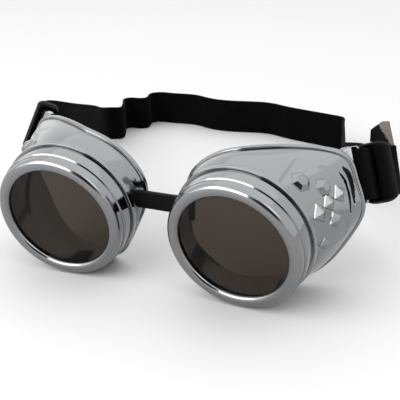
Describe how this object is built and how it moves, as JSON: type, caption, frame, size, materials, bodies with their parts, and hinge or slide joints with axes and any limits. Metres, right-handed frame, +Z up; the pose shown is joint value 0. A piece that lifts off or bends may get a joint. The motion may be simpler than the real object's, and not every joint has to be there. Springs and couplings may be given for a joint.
{
  "type": "steampunk goggles",
  "caption": "Round-lens steampunk goggles: plated cups with screw-off lens rings, smoked lenses, a rubber nose bridge and an elastic head strap with two sliders.",
  "frame": {"origin": "centre of the nose bridge strip, midway between the cups", "axes": "+X towards the cup with the slider, +Y back from the lenses towards the face and strap, +Z up from the table that the goggles stand on"},
  "size_m": [0.202, 0.2284, 0.0598],
  "materials": {
    "plated": "chrome-plated plastic",
    "lens": "smoked, polished",
    "gasket": "matte",
    "bridge_rubber": "matte",
    "webbing": "woven elastic",
    "black_plastic": "moulded"
  },
  "bodies": {
    "right_half": {"right_cup": "plated", "right_gasket": "gasket", "nose_bridge": "bridge_rubber", "strap": "webbing"},
    "left_half": {"left_cup": "plated", "left_gasket": "gasket"},
    "right_lens_disc": {"right_lens": "lens"},
    "right_lens_ring": {"right_ring": "plated"},
    "left_lens_disc": {"left_lens": "lens"},
    "left_lens_ring": {"left_ring": "plated"},
    "strap_slider": {"slider": "black_plastic"},
    "left_strap_slider": {"left_slider": "black_plastic"}
  },
  "joints": [
    {"name": "bridge_fold", "type": "hinge", "parent": "right_half", "child": "left_half", "pos_m": [0, 0, 0], "axis": [0, 0, 1], "range_deg": [-20, 10], "deforming": ["strap", "nose_bridge"]},
    {"name": "right_lens_travel", "type": "slide", "parent": "right_half", "child": "right_lens_disc", "axis": [-0.0528, -0.9756, -0.213], "range_m": [0, 0.006]},
    {"name": "right_ring_turn", "type": "hinge", "parent": "right_lens_disc", "child": "right_lens_ring", "pos_m": [0.0372, -0.01755, -0.00718], "axis": [-0.0528, -0.9756, -0.213], "range_deg": [0, 720]},
    {"name": "left_lens_travel", "type": "slide", "parent": "left_half", "child": "left_lens_disc", "axis": [0.0528, -0.9756, -0.213], "range_m": [0, 0.006]},
    {"name": "left_ring_turn", "type": "hinge", "parent": "left_lens_disc", "child": "left_lens_ring", "pos_m": [-0.0372, -0.01755, -0.00718], "axis": [0.0528, -0.9756, -0.213], "range_deg": [0, 720]},
    {"name": "slider_travel", "type": "slide", "parent": "right_half", "child": "strap_slider", "axis": [0.2993, 0.9331, -0.1994], "range_m": [-0.0005, 0.005]},
    {"name": "left_slider_travel", "type": "slide", "parent": "left_half", "child": "left_strap_slider", "axis": [-0.59, 0.8053, -0.0587], "range_m": [-0.001, 0.003]}
  ],
  "couplings": [
    {"joint": "right_lens_travel", "follows": "right_ring_turn", "m_per_rad": 0.00047746},
    {"joint": "left_lens_travel", "follows": "left_ring_turn", "m_per_rad": 0.00047746}
  ]
}
